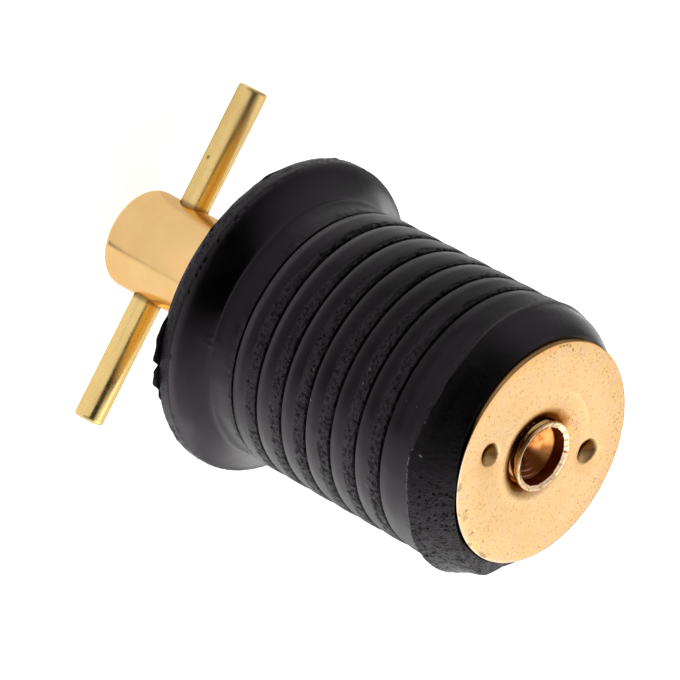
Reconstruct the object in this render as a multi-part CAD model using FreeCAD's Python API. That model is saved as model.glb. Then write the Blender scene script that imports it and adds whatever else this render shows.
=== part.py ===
import FreeCAD, Part
import math
import os

# Expanding drain plug for a boat. It stands on the flat end of its handle barrel.
# The origin is the centre of that end, +Z runs along the plug's axis to the nut plate,
# and the cross bar lies along X. All sizes are in millimetres.

# Handle barrel, a turned brass rod, and the bar pressed through it.
BARREL_D = 9.5
BARREL_LEN = 16.6
BARREL_END_ROUND = 0.6
BARREL_SHOULDER_CHAMFER = 0.5
BAR_D = 2.8
BAR_LEN = 33.7
BAR_HEIGHT = 4.05
BAR_END_CHAMFER = 0.35
BAR_HOLE_COUNTERSINK = 0.25

# Washer that the barrel's shoulder turns on. It backs the whole flange.
WASHER_D = 25.4
WASHER_T = 0.8
WASHER_BORE_CLEARANCE = 0.3
WASHER_EDGE_BREAK = 0.15

# Threaded stem, drawn at the thread's crests, with a hollow flared end.
STEM_D = 6.2
STEM_PROUD = 0.3
FLARE_OUT = 0.2
FLARE_LEN = 0.6
RIM_WALL = 0.5
STEM_BORE_WALL = 0.65
STEM_BORE_DEPTH = 1.2
STEM_MOUTH_DEPTH = 0.6
DRILL_POINT_ANGLE = 118.0

# Moulded rubber plug: flange at the handle end, then collar, ribs and end band.
FLANGE_D = 29.7
LIP_T = 1.5
LIP_ROUND = 0.4
FLANGE_BACK_FALL = 0.3
WASHER_SEAT_MARGIN = 0.6
FLARE_RISE = 2.2
FLARE_HOLLOW = 0.3
LIP_FRONT_STEP = 0.2
COLLAR_D = 24.4
COLLAR_LEN = 3.0
RIB_COUNT = 6
RIB_PITCH = 2.98
RIB_D = 24.7
RIB_FOOT_DROP = 0.3
RIB_HEEL_DROP = 0.1
RIB_SWELL = 0.075
RIB_CREST_SHARE = 0.56
GROOVE_DEPTH = 0.6
GROOVE_FOOT_W = 0.12
GROOVE_HEEL_W = 0.2
LAND_D = 25.2
LAND_LEN = 1.8
LAND_RISE_LEN = 1.5
END_TAPER_LEN = 3.15
END_FACE_D = 22.2
PLUG_BORE_CLEARANCE = 0.4
COLLAR_POCKET_CLEARANCE = 0.4
COLLAR_POCKET_EXTRA_DEPTH = 0.4

# Nut plate: stamped, its tapped hole drawn in towards the rubber.
PLATE_D = 20.8
PLATE_T = 1.0
PLATE_FACE_ROUND = 0.15
PLATE_BACK_BREAK = 0.15
THREAD_CLEARANCE = 0.05
DRAWN_COLLAR_WALL = 1.0
DRAWN_COLLAR_LEN = 1.7
DRAWN_ENTRY_ROUND = 1.1
DRAWN_FOOT_FILLET = 0.25
DIMPLE_CIRCLE_D = 13.0
DIMPLE_AZIMUTH = 106.0
DIMPLE_D = 1.7
DIMPLE_DEPTH = 0.55
BUMP_D = 2.1
BUMP_HEIGHT = 0.45
BUMP_POCKET_CLEARANCE = 0.25

# Heights and radii worked out from the sizes above.
WASHER_BOTTOM = BARREL_LEN
WASHER_TOP = WASHER_BOTTOM + WASHER_T
LIP_BOTTOM = WASHER_TOP + FLANGE_BACK_FALL
LIP_TOP = LIP_BOTTOM + LIP_T
COLLAR_BOTTOM = LIP_TOP + FLARE_RISE
FIRST_GROOVE = COLLAR_BOTTOM + COLLAR_LEN
LAST_GROOVE = FIRST_GROOVE + RIB_COUNT * RIB_PITCH
LAND_BOTTOM = LAST_GROOVE + GROOVE_FOOT_W + LAND_RISE_LEN
LAND_TOP = LAND_BOTTOM + LAND_LEN
PLUG_TOP = LAND_TOP + END_TAPER_LEN
PLATE_TOP = PLUG_TOP + PLATE_T
STEM_TOP = PLATE_TOP + STEM_PROUD
STEM_R = STEM_D / 2
PLATE_BORE_R = STEM_R + THREAD_CLEARANCE
DRAWN_COLLAR_R = PLATE_BORE_R + DRAWN_COLLAR_WALL


def section_point(point):
    """Point of a half section, given as its radius and height."""
    return FreeCAD.Vector(point[0], 0, point[1])


def line(start, end):
    return Part.LineSegment(section_point(start), section_point(end)).toShape()


def arc(start, middle, end):
    return Part.Arc(section_point(start), section_point(middle), section_point(end)).toShape()


def rounding(start, end, centre, radius, angle):
    """Arc about a centre, through the point of it at an angle in degrees from the radial direction."""
    turn = math.radians(angle)
    middle = (centre[0] + radius * math.cos(turn), centre[1] + radius * math.sin(turn))
    return arc(start, middle, end)


def bulge_middle(start, end, height):
    """Middle point of an arc that stands out from its chord, to the right of its direction."""
    along = (end[0] - start[0], end[1] - start[1])
    length = math.hypot(along[0], along[1])
    return (
        (start[0] + end[0]) / 2 + along[1] / length * height,
        (start[1] + end[1]) / 2 - along[0] / length * height,
    )


def turned(edges):
    """Solid of revolution about the plug's axis, from the edges of its half section."""
    face = Part.Face(Part.Wire(edges))
    return face.revolve(FreeCAD.Vector(0, 0, 0), FreeCAD.Vector(0, 0, 1), 360)


def hanging_dome(centre_x, centre_y, face_z, diameter, depth):
    """Spherical cap that hangs down from a level face."""
    foot_r = diameter / 2
    sphere_r = (foot_r ** 2 + depth ** 2) / (2 * depth)
    ball = Part.makeSphere(sphere_r, FreeCAD.Vector(centre_x, centre_y, face_z - depth + sphere_r))
    slab = Part.makeCylinder(foot_r, depth, FreeCAD.Vector(centre_x, centre_y, face_z - depth))
    return ball.common(slab)


def dimple_places():
    places = []
    for side in (0, 180):
        turn = math.radians(DIMPLE_AZIMUTH + side)
        places.append((DIMPLE_CIRCLE_D / 2 * math.cos(turn), DIMPLE_CIRCLE_D / 2 * math.sin(turn)))
    return places


def bar_blank():
    """Plain rod where the cross bar lies, which also cuts its hole."""
    start = FreeCAD.Vector(-BAR_LEN / 2, 0, BAR_HEIGHT)
    return Part.makeCylinder(BAR_D / 2, BAR_LEN, start, FreeCAD.Vector(1, 0, 0))


def make_handle_spindle():
    """Barrel and stem turned in one, with the stem's end bored hollow and flared."""
    barrel_r = BARREL_D / 2
    round_centre = (barrel_r - BARREL_END_ROUND, BARREL_END_ROUND)
    shoulder_outer = (barrel_r, BARREL_LEN - BARREL_SHOULDER_CHAMFER)
    shoulder_inner = (barrel_r - BARREL_SHOULDER_CHAMFER, BARREL_LEN)
    flare_r = STEM_R + FLARE_OUT
    flare_bottom = STEM_TOP - FLARE_LEN
    rim_outer = (flare_r, STEM_TOP - RIM_WALL / 2)
    rim_crown = (flare_r - RIM_WALL / 2, STEM_TOP)
    rim_inner = (flare_r - RIM_WALL, STEM_TOP - RIM_WALL / 2)
    bore_r = STEM_R - STEM_BORE_WALL
    mouth_bottom = (bore_r, STEM_TOP - STEM_MOUTH_DEPTH)
    bore_foot = (bore_r, STEM_TOP - STEM_BORE_DEPTH)
    point_depth = bore_r / math.tan(math.radians(DRILL_POINT_ANGLE / 2))
    section = [
        line((0, 0), (round_centre[0], 0)),
        rounding((round_centre[0], 0), (barrel_r, round_centre[1]), round_centre, BARREL_END_ROUND, -45),
        line((barrel_r, round_centre[1]), shoulder_outer),
        line(shoulder_outer, shoulder_inner),
        line(shoulder_inner, (STEM_R, BARREL_LEN)),
        line((STEM_R, BARREL_LEN), (STEM_R, flare_bottom)),
        line((STEM_R, flare_bottom), rim_outer),
        arc(rim_outer, rim_crown, rim_inner),
        line(rim_inner, mouth_bottom),
        line(mouth_bottom, bore_foot),
        line(bore_foot, (0, bore_foot[1] - point_depth)),
        line((0, bore_foot[1] - point_depth), (0, 0)),
    ]
    spindle = turned(section).cut(bar_blank())
    for side in (-1, 1):
        mouth = FreeCAD.Vector(side * barrel_r, 0, BAR_HEIGHT)
        sink = Part.makeCone(
            BAR_D / 2 + BAR_HOLE_COUNTERSINK,
            BAR_D / 2,
            BAR_HOLE_COUNTERSINK,
            mouth,
            FreeCAD.Vector(-side, 0, 0),
        )
        spindle = spindle.cut(sink)
    return spindle


def make_cross_bar():
    """Round bar with both ends chamfered."""
    bar = bar_blank()
    ends = [edge for edge in bar.Edges if isinstance(edge.Curve, Part.Circle)]
    return bar.makeChamfer(BAR_END_CHAMFER, ends)


def make_thrust_washer():
    """Flat washer with both outer edges broken."""
    outer_r = WASHER_D / 2
    bore_r = STEM_R + WASHER_BORE_CLEARANCE
    corners = [
        (bore_r, WASHER_BOTTOM),
        (outer_r - WASHER_EDGE_BREAK, WASHER_BOTTOM),
        (outer_r, WASHER_BOTTOM + WASHER_EDGE_BREAK),
        (outer_r, WASHER_TOP - WASHER_EDGE_BREAK),
        (outer_r - WASHER_EDGE_BREAK, WASHER_TOP),
        (bore_r, WASHER_TOP),
    ]
    return turned([line(start, end) for start, end in zip(corners, corners[1:] + corners[:1])])


def flange_section():
    """Half section of the flange and collar, from the washer seat out and up to the first groove."""
    rim_r = FLANGE_D / 2
    collar_r = COLLAR_D / 2
    seat_r = WASHER_D / 2 + WASHER_SEAT_MARGIN
    back_edge = (rim_r - LIP_ROUND, LIP_BOTTOM)
    back_round = (rim_r - LIP_ROUND, LIP_BOTTOM + LIP_ROUND)
    lip_front = (rim_r, LIP_TOP - LIP_FRONT_STEP)
    flare_start = (rim_r - LIP_FRONT_STEP, LIP_TOP)
    flare_end = (collar_r, COLLAR_BOTTOM)
    return [
        line((seat_r, WASHER_TOP), back_edge),
        rounding(back_edge, (rim_r, back_round[1]), back_round, LIP_ROUND, -45),
        line((rim_r, back_round[1]), lip_front),
        line(lip_front, flare_start),
        arc(flare_start, bulge_middle(flare_start, flare_end, -FLARE_HOLLOW), flare_end),
        line(flare_end, (collar_r, FIRST_GROOVE - GROOVE_HEEL_W)),
        line((collar_r, FIRST_GROOVE - GROOVE_HEEL_W), (RIB_D / 2 - GROOVE_DEPTH, FIRST_GROOVE)),
    ]


def rib_section(groove_z):
    """Half section of one rib, from its groove to the next: it swells to a crest, then falls a little."""
    crest_r = RIB_D / 2
    foot = (crest_r - RIB_FOOT_DROP, groove_z + GROOVE_FOOT_W)
    crest = (crest_r, groove_z + RIB_PITCH * RIB_CREST_SHARE)
    heel = (crest_r - RIB_HEEL_DROP, groove_z + RIB_PITCH - GROOVE_HEEL_W)
    return [
        line((crest_r - GROOVE_DEPTH, groove_z), foot),
        arc(foot, bulge_middle(foot, crest, RIB_SWELL), crest),
        line(crest, heel),
        line(heel, (crest_r - GROOVE_DEPTH, groove_z + RIB_PITCH)),
    ]


def end_band_section():
    """Half section from the last groove over the sealing land to the plug's end face."""
    land_r = LAND_D / 2
    foot = (RIB_D / 2 - RIB_FOOT_DROP, LAST_GROOVE + GROOVE_FOOT_W)
    land_start = (land_r, LAND_BOTTOM)
    return [
        line((RIB_D / 2 - GROOVE_DEPTH, LAST_GROOVE), foot),
        arc(foot, bulge_middle(foot, land_start, RIB_SWELL), land_start),
        line(land_start, (land_r, LAND_TOP)),
        line((land_r, LAND_TOP), (END_FACE_D / 2, PLUG_TOP)),
    ]


def make_rubber_plug():
    """Moulded plug, with pockets for the nut plate's drawn collar and its two bumps."""
    bore_r = STEM_R + PLUG_BORE_CLEARANCE
    seat_r = WASHER_D / 2 + WASHER_SEAT_MARGIN
    pocket_r = DRAWN_COLLAR_R + COLLAR_POCKET_CLEARANCE
    pocket_z = PLUG_TOP - DRAWN_COLLAR_LEN - COLLAR_POCKET_EXTRA_DEPTH
    section = [line((bore_r, WASHER_TOP), (seat_r, WASHER_TOP))]
    section += flange_section()
    for index in range(RIB_COUNT):
        section += rib_section(FIRST_GROOVE + index * RIB_PITCH)
    section += end_band_section()
    section += [
        line((END_FACE_D / 2, PLUG_TOP), (pocket_r, PLUG_TOP)),
        line((pocket_r, PLUG_TOP), (pocket_r, pocket_z)),
        line((pocket_r, pocket_z), (bore_r, pocket_z)),
        line((bore_r, pocket_z), (bore_r, WASHER_TOP)),
    ]
    plug = turned(section)
    pocket_d = BUMP_D + 2 * BUMP_POCKET_CLEARANCE
    pocket_depth = BUMP_HEIGHT + BUMP_POCKET_CLEARANCE
    for place_x, place_y in dimple_places():
        plug = plug.cut(hanging_dome(place_x, place_y, PLUG_TOP, pocket_d, pocket_depth))
    return plug


def make_nut_plate():
    """Stamped plate: rounded face edge, hole drawn inwards, dimples punched through to bumps."""
    plate_r = PLATE_D / 2
    face_round = (plate_r - PLATE_FACE_ROUND, PLATE_TOP - PLATE_FACE_ROUND)
    face_end = (face_round[0], PLATE_TOP)
    rim_top = (plate_r, face_round[1])
    rim_bottom = (plate_r, PLUG_TOP + PLATE_BACK_BREAK)
    back_end = (plate_r - PLATE_BACK_BREAK, PLUG_TOP)
    foot_round = (DRAWN_COLLAR_R + DRAWN_FOOT_FILLET, PLUG_TOP - DRAWN_FOOT_FILLET)
    foot_top = (foot_round[0], PLUG_TOP)
    foot_bottom = (DRAWN_COLLAR_R, foot_round[1])
    collar_outer = (DRAWN_COLLAR_R, PLUG_TOP - DRAWN_COLLAR_LEN)
    collar_inner = (PLATE_BORE_R, PLUG_TOP - DRAWN_COLLAR_LEN)
    entry_round = (PLATE_BORE_R + DRAWN_ENTRY_ROUND, PLATE_TOP - DRAWN_ENTRY_ROUND)
    entry_bottom = (PLATE_BORE_R, entry_round[1])
    entry_top = (entry_round[0], PLATE_TOP)
    section = [
        line(entry_top, face_end),
        rounding(face_end, rim_top, face_round, PLATE_FACE_ROUND, 45),
        line(rim_top, rim_bottom),
        line(rim_bottom, back_end),
        line(back_end, foot_top),
        rounding(foot_top, foot_bottom, foot_round, DRAWN_FOOT_FILLET, 135),
        line(foot_bottom, collar_outer),
        line(collar_outer, collar_inner),
        line(collar_inner, entry_bottom),
        rounding(entry_bottom, entry_top, entry_round, DRAWN_ENTRY_ROUND, 135),
    ]
    plate = turned(section)
    for place_x, place_y in dimple_places():
        plate = plate.fuse(hanging_dome(place_x, place_y, PLUG_TOP, BUMP_D, BUMP_HEIGHT))
        plate = plate.cut(hanging_dome(place_x, place_y, PLATE_TOP, DIMPLE_D, DIMPLE_DEPTH))
    return plate.removeSplitter()


def main():
    os.makedirs("parts", exist_ok=True)
    nodes = {
        "rubber_plug": make_rubber_plug(),
        "handle_spindle": make_handle_spindle(),
        "cross_bar": make_cross_bar(),
        "thrust_washer": make_thrust_washer(),
        "nut_plate": make_nut_plate(),
    }
    for name, shape in nodes.items():
        solid = shape.Solids[0]
        print(name, "valid", solid.isValid(), "solids", len(shape.Solids), "volume", round(solid.Volume, 2))
        solid.exportStep(os.path.join("parts", name + ".step"))


main()
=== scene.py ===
"""Expanding boat drain plug: ribbed rubber body, brass T-handle, washer and nut plate.

All shapes are in the frame's axes: the plug stands on its handle barrel, +Z runs to the nut plate
and the cross bar lies along X. Shape code works in millimetres and turns them into metres at the end.
"""
import math

import bmesh
import bpy
import numpy as np
from mathutils import Matrix, Vector


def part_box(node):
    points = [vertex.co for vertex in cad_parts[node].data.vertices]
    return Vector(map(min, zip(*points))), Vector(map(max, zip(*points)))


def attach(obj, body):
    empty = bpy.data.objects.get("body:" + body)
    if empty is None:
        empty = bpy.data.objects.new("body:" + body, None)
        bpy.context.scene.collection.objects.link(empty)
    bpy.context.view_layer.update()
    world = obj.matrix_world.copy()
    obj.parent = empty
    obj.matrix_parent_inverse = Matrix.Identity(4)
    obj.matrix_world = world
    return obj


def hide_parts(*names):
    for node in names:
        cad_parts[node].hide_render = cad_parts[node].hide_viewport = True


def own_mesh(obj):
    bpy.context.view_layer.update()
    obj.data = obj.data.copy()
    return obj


bl_info = {
    "name": "Boat drain plug",
    "version": (1, 0, 0),
    "blender": (4, 5, 0),
    "location": "3D View > Sidebar > Drain plug",
    "description": "Builds an expanding rubber drain plug with a brass T-handle round its frame",
    "category": "Add Mesh",
}

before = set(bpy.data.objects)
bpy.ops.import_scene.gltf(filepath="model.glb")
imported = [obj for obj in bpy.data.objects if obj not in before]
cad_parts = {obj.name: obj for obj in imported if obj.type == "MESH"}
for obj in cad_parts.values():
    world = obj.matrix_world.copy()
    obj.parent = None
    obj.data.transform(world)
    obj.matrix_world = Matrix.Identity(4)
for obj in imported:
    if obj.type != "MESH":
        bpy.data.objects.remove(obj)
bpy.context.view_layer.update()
MM = 0.001


def box_mm(node):
    """Lowest and highest corner of a frame node, in millimetres."""
    low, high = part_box(node)
    return low / MM, high / MM


RUBBER_LOW, RUBBER_HIGH = box_mm("rubber_plug")
SPINDLE_HIGH = box_mm("handle_spindle")[1]
BAR_LOW, BAR_HIGH = box_mm("cross_bar")
BAR_RADIUS, BAR_HEIGHT = (BAR_HIGH.z - BAR_LOW.z) / 2, (BAR_HIGH.z + BAR_LOW.z) / 2
PLATE_LOW, PLATE_HIGH = box_mm("nut_plate")
WASHER_LOW, WASHER_HIGH = box_mm("thrust_washer")

# Rubber, in millimetres: heights over its back, depths under its end face, and radii.
LIP_BACK, LIP_FRONT, COLLAR_FOOT, FIRST_GROOVE = 0.3, 1.8, 4.0, 7.0
SEAM_DROP, POCKET_DEPTH = 2.85, 2.1
SPINDLE_BORE, COLLAR_POCKET, FACE_CORNER, END_FACE_RADIUS, COLLAR_RADIUS = 3.5, 4.55, 10.55, 11.1, 12.2
LIP_ROUND = 0.4
RIBS = 6
# Height and azimuth of single light grains.
LIGHT_GRAINS = (
    (32.9, -79.6), (38.4, -90.7), (38.4, -84.7), (33.5, -67.7), (29.4, -55.7), (46.04, -65), (46.03, -62.5),
    (46.05, -61), (46.04, -57), (46.02, -54), (46.05, -50.5), (46.04, -48), (46.04, -43.5), (46.9, -70), (30.4, -50),
)
# Nut plate: places of its dimples, how many times smaller than the setting each is, how far its rim is
# off centre, and the azimuth that its face leans to, with half the drop there.
DIMPLES = ((-1.75, 6.12), (1.81, -6.5))
DIMPLE_SHRINK = (1.14, 1.0)
PLATE_SHIFT = (-0.22, 0.17)
PLATE_LOW_SIDE = -80
PLATE_LEAN = 0.24
# Distance from the centre and azimuth of the plate's round dents, with their radii, and of its dark specks.
PLATE_DENTS = ((9.33, -37, 0.24), (9.41, -24, 0.2))
PLATE_SPOTS = ((10.12, -152.3), (10.1, -155), (10.1, -157.4), (9.98, -159.8), (9.5, -163), (9.3, -41), (9.2, -12))
# Azimuth in degrees, and rise of the moulding seam there.
SEAM_LINE = (
    (-180, -0.85), (-168, -0.7), (-155, -0.45), (-140, -0.42), (-127, -0.3), (-112, 0.1), (-93, 0.3), (-78, -0.1),
    (-67, -0.4), (-58, -0.2), (-49, 0.05), (-26, -0.05), (0, -0.2), (150, -0.5), (180, -0.85),
)
# Azimuth in degrees, radial swelling and rise of the rubber's end beside the plate.
END_SWELL = (
    (-180, -0.3, 0), (-150, -0.3, 0), (-120, -0.35, 0), (-93, -0.5, 0.1), (-60, -0.9, 0.55), (-35, -0.8, 0.66),
    (-16, -0.35, 0.7), (-5, 0.1, 0.7), (5, 0.2, 0.62), (20, -0.3, 0.05), (40, -0.5, 0), (180, -0.3, 0),
)
# Pitch of both threads, and height of the stem's last crest.
THREAD_PITCH = 1.27
THREAD_CREST = SPINDLE_HIGH.z - 0.45
# Where a thread's flank begins and ends, as shares of the way from its crest to its root.
FLANK_START, FLANK_END = 0.12, 0.86


# ---- settings


class RubberSettings(bpy.types.PropertyGroup):
    columns: bpy.props.IntProperty(
        name="Steps round", description="Mesh steps round the plug", default=520, min=48
    )
    rib_pitch: bpy.props.FloatProperty(
        name="Rib pitch", description="Distance from one groove to the next", default=0.00298, unit="LENGTH"
    )
    crest_radius: bpy.props.FloatProperty(
        name="Crest radius", description="Radius of the ribs at their crests", default=0.01235, unit="LENGTH"
    )
    groove_depth: bpy.props.FloatProperty(
        name="Groove depth", description="Depth of the grooves under the crests",
        default=0.0005, unit="LENGTH",
    )
    pit_depth: bpy.props.FloatProperty(
        name="Pit depth", description="Depth of the pits in the coarse bands", default=0.0001, unit="LENGTH"
    )
    flash_height: bpy.props.FloatProperty(
        name="Flash height", description="Height of the torn moulding flash on the flange",
        default=0.0008, unit="LENGTH",
    )
    seed: bpy.props.IntProperty(name="Seed", description="Pattern of pits and flash", default=7)
    colour: bpy.props.FloatVectorProperty(
        name="Colour", description="Colour of the rubber",
        subtype="COLOR", default=(0.0018, 0.0017, 0.0017), min=0, max=1,
    )
    smooth_roughness: bpy.props.FloatProperty(
        name="Smooth roughness", description="Roughness of the smooth bands",
        subtype="FACTOR", default=0.24, min=0, max=1,
    )
    coarse_roughness: bpy.props.FloatProperty(
        name="Coarse roughness", description="Roughness of the pitted bands",
        subtype="FACTOR", default=0.33, min=0, max=1,
    )


class HandleSettings(bpy.types.PropertyGroup):
    thread_pitch: bpy.props.FloatProperty(
        name="Thread pitch", description="Pitch of the stem's thread", default=THREAD_PITCH * MM, unit="LENGTH"
    )
    thread_depth: bpy.props.FloatProperty(
        name="Thread depth", description="Depth of the stem's thread", default=0.0006, unit="LENGTH"
    )
    thread_length: bpy.props.FloatProperty(
        name="Thread length", description="Length of the threaded end of the stem",
        default=0.015, unit="LENGTH",
    )
    seed: bpy.props.IntProperty(name="Seed", description="Pattern of nicks and dents", default=11)
    barrel_colour: bpy.props.FloatVectorProperty(
        name="Barrel colour", description="Colour of the barrel's brass",
        subtype="COLOR", default=(0.93, 0.60, 0.265), min=0, max=1,
    )
    bar_colour: bpy.props.FloatVectorProperty(
        name="Bar colour", description="Colour of the cross bar's brass",
        subtype="COLOR", default=(0.85, 0.61, 0.25), min=0, max=1,
    )
    bore_colour: bpy.props.FloatVectorProperty(
        name="Bore colour", description="Colour of the coppery bottom of the bore",
        subtype="COLOR", default=(0.95, 0.42, 0.13), min=0, max=1,
    )


class PlateSettings(bpy.types.PropertyGroup):
    dimple_diameter: bpy.props.FloatProperty(
        name="Dimple diameter", description="Diameter of the two punched dimples",
        default=0.0025, unit="LENGTH",
    )
    dimple_depth: bpy.props.FloatProperty(
        name="Dimple depth", description="Depth of the two punched dimples", default=0.00055, unit="LENGTH"
    )
    dish: bpy.props.FloatProperty(
        name="Dish", description="How far the face dips towards its hole", default=0.0003, unit="LENGTH"
    )
    seed: bpy.props.IntProperty(name="Seed", description="Pattern of dents", default=5)
    colour: bpy.props.FloatVectorProperty(
        name="Colour", description="Colour of the plate's brass",
        subtype="COLOR", default=(0.92, 0.62, 0.33), min=0, max=1,
    )


class StageSettings(bpy.types.PropertyGroup):
    place: bpy.props.FloatVectorProperty(
        name="Camera place", description="Where the camera stands",
        subtype="TRANSLATION", default=(-0.0217, -0.39218, 0.31008),
    )
    azimuth: bpy.props.FloatProperty(
        name="Azimuth", description="Camera's turn about the plug's axis",
        subtype="ANGLE", default=math.radians(-3.1),
    )
    elevation: bpy.props.FloatProperty(
        name="Elevation", description="Camera's height above the horizon",
        subtype="ANGLE", default=math.radians(35.95),
    )
    roll: bpy.props.FloatProperty(
        name="Roll", description="Camera's turn about its line of sight",
        subtype="ANGLE", default=math.radians(118.56),
    )
    lens: bpy.props.FloatProperty(
        name="Lens", description="Camera's focal length in millimetres", default=291.18
    )
    floor_colour: bpy.props.FloatVectorProperty(
        name="Floor colour", description="Colour of the floor",
        subtype="COLOR", default=(0.8, 0.8, 0.8), min=0, max=1,
    )
    key_power: bpy.props.FloatProperty(
        name="Key light", description="Power of the large soft light, in watts", default=0.9
    )


# ---- shape helpers


def ramp(low, high, value):
    """Soft step from 0 at low to 1 at high."""
    share = np.clip((np.asarray(value, float) - low) / (high - low), 0, 1)
    return share * share * (3 - 2 * share)


def fall(low, high, value):
    """Soft step from 1 at low to 0 at high."""
    return 1 - ramp(low, high, value)


def noise_sheet(seed, rows, columns, row_blur, column_blur):
    """Smooth random sheet with mean 0 and spread 1 that closes on itself. The blurs are in cells."""
    rng = np.random.default_rng(seed)
    waves = np.fft.rfft2(rng.standard_normal((rows, columns)))
    row_wave = np.fft.fftfreq(rows)[:, None] * row_blur
    column_wave = np.fft.rfftfreq(columns)[None, :] * column_blur
    sheet = np.fft.irfft2(waves * np.exp(-2 * math.pi ** 2 * (row_wave ** 2 + column_wave ** 2)), s=(rows, columns))
    return sheet / sheet.std()


class Skin:
    """Random sheets laid over a turned surface, with steps of equal length along its rows."""

    def __init__(self, radii, heights, columns, mean_radius, step=0.06):
        lengths = np.hypot(np.diff(radii), np.diff(heights))
        self.along = np.concatenate([[0], np.cumsum(lengths)]) / step
        self.rows = int(self.along[-1]) + 2
        self.columns = columns
        self.step = step
        self.column_step = 2 * math.pi * mean_radius / columns

    def noise(self, seed, row_grain, column_grain):
        """Sheet sampled at the surface's own rows. The grains are in millimetres."""
        blurs = (row_grain / self.step, column_grain / self.column_step)
        sheet = noise_sheet(seed, self.rows, self.columns, *blurs)
        low = np.floor(self.along).astype(int)
        share = (self.along - low)[:, None]
        return sheet[low] * (1 - share) + sheet[np.minimum(low + 1, self.rows - 1)] * share


def trace(corners):
    """Rows along a half section. Each corner is a radius, a height and the steps that lead to it."""
    rows = [corners[0][:2]]
    for start, end in zip(corners, corners[1:]):
        for step in range(1, end[2] + 1):
            share = step / end[2]
            rows.append((start[0] + (end[0] - start[0]) * share, start[1] + (end[1] - start[1]) * share))
    return rows


def bow(start, end, height, steps):
    """Corners along a shallow arc that stands out from its chord by a height, to the right of it."""
    along = (end[0] - start[0], end[1] - start[1])
    length = math.hypot(*along)
    corners = []
    for step in range(1, steps + 1):
        share = step / steps
        rise = 4 * height * share * (1 - share) / length
        corners.append(
            (start[0] + along[0] * share + along[1] * rise, start[1] + along[1] * share - along[0] * rise, 1)
        )
    return corners


def quarter(centre, radius, first, last, steps):
    """Corners along a round, between two angles in degrees from the outward direction."""
    corners = []
    for step in range(1, steps + 1):
        angle = math.radians(first + (last - first) * step / steps)
        corners.append((centre[0] + radius * math.cos(angle), centre[1] + radius * math.sin(angle), 1))
    return corners


def peak(value, middle, width):
    """1 at the middle, and less on both sides of it."""
    return np.exp(-(((value - middle) / width) ** 2))


def turned_surface(rows, columns, mean_radius):
    """Radii and heights of the rows, angles of the columns in radians and degrees, and the noise over both."""
    radii, heights = np.array(rows).T[:, :, None]
    turns = np.arange(columns) * 2 * math.pi / columns
    degrees = (np.degrees(turns) + 180) % 360 - 180
    return radii, heights, turns, degrees, Skin(radii[:, 0], heights[:, 0], columns, mean_radius)


def row_normals(radii, heights):
    """Outward direction of each row in the half section, for rows that run upwards on the outside."""
    along_r, along_z = np.gradient(radii, axis=0), np.gradient(heights, axis=0)
    length = np.hypot(along_r, along_z) + 1e-9
    return along_z / length, -along_r / length


def polar(distance, azimuth):
    """Place at a distance from the axis, at an azimuth in degrees."""
    return distance * math.cos(math.radians(azimuth)), distance * math.sin(math.radians(azimuth))


def turn_points(radii, heights, angles):
    """Grid of points from radii and heights, each rows by columns."""
    return np.stack([radii * np.cos(angles), radii * np.sin(angles), heights], axis=-1)


def lying_points(along, radii, angles):
    """Grid of points round the axis of the cross bar."""
    return np.stack([along, radii * np.cos(angles), BAR_HEIGHT + radii * np.sin(angles)], axis=-1)


def grid_object(name, points, loop=False, caps=False, fields=None, sharp=35):
    """Mesh object with its faces outwards, from a grid of points in millimetres that closes round its columns.

    loop joins the last row to the first, and caps closes each end on its middle point.
    """
    rows, columns = points.shape[:2]
    index = np.arange(rows * columns).reshape(rows, columns)
    below = index if loop else index[:-1]
    above = np.roll(index, -1, axis=0) if loop else index[1:]
    faces = np.stack([below, np.roll(below, -1, 1), np.roll(above, -1, 1), above], axis=-1).reshape(-1, 4).tolist()
    spots = points.reshape(-1, 3)
    if caps:
        spots = np.vstack([spots, points[0].mean(0), points[-1].mean(0)])
        first, last = rows * columns, rows * columns + 1
        for column in range(columns):
            after = (column + 1) % columns
            faces.append([first, int(index[0, after]), int(index[0, column])])
            faces.append([last, int(index[-1, column]), int(index[-1, after])])
    mesh = bpy.data.meshes.new(name)
    mesh.from_pydata((spots * MM).tolist(), [], faces)
    for field, values in (fields or {}).items():
        attribute = mesh.attributes.new(field, "FLOAT", "POINT")
        flat = np.zeros(len(spots), np.float32)
        flat[: rows * columns] = np.broadcast_to(values, (rows, columns)).ravel()
        attribute.data.foreach_set("value", flat)
    shell = bmesh.new()
    shell.from_mesh(mesh)
    bmesh.ops.recalc_face_normals(shell, faces=shell.faces)
    shell.to_mesh(mesh)
    shell.free()
    shade_smooth(mesh, sharp)
    return linked(name, mesh)


def shade_smooth(mesh, sharp):
    """Smooth shading that keeps edges sharper than an angle in degrees."""
    mesh.shade_smooth()
    mesh.set_sharp_from_angle(angle=math.radians(sharp))


def linked(name, data):
    """New object in the scene."""
    made = bpy.data.objects.new(name, data)
    bpy.context.scene.collection.objects.link(made)
    return made


def wrapped(angles, centre):
    """Angles in degrees measured from a centre, between -180 and 180."""
    return (angles - centre + 180) % 360 - 180


def window(angles, first, last, soft):
    """1 between two angles in degrees and 0 outside, with soft ends."""
    middle, half = (first + last) / 2, (last - first) / 2
    return fall(half - soft / 2, half + soft / 2, np.abs(wrapped(angles, middle)))


# ---- material helpers


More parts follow.
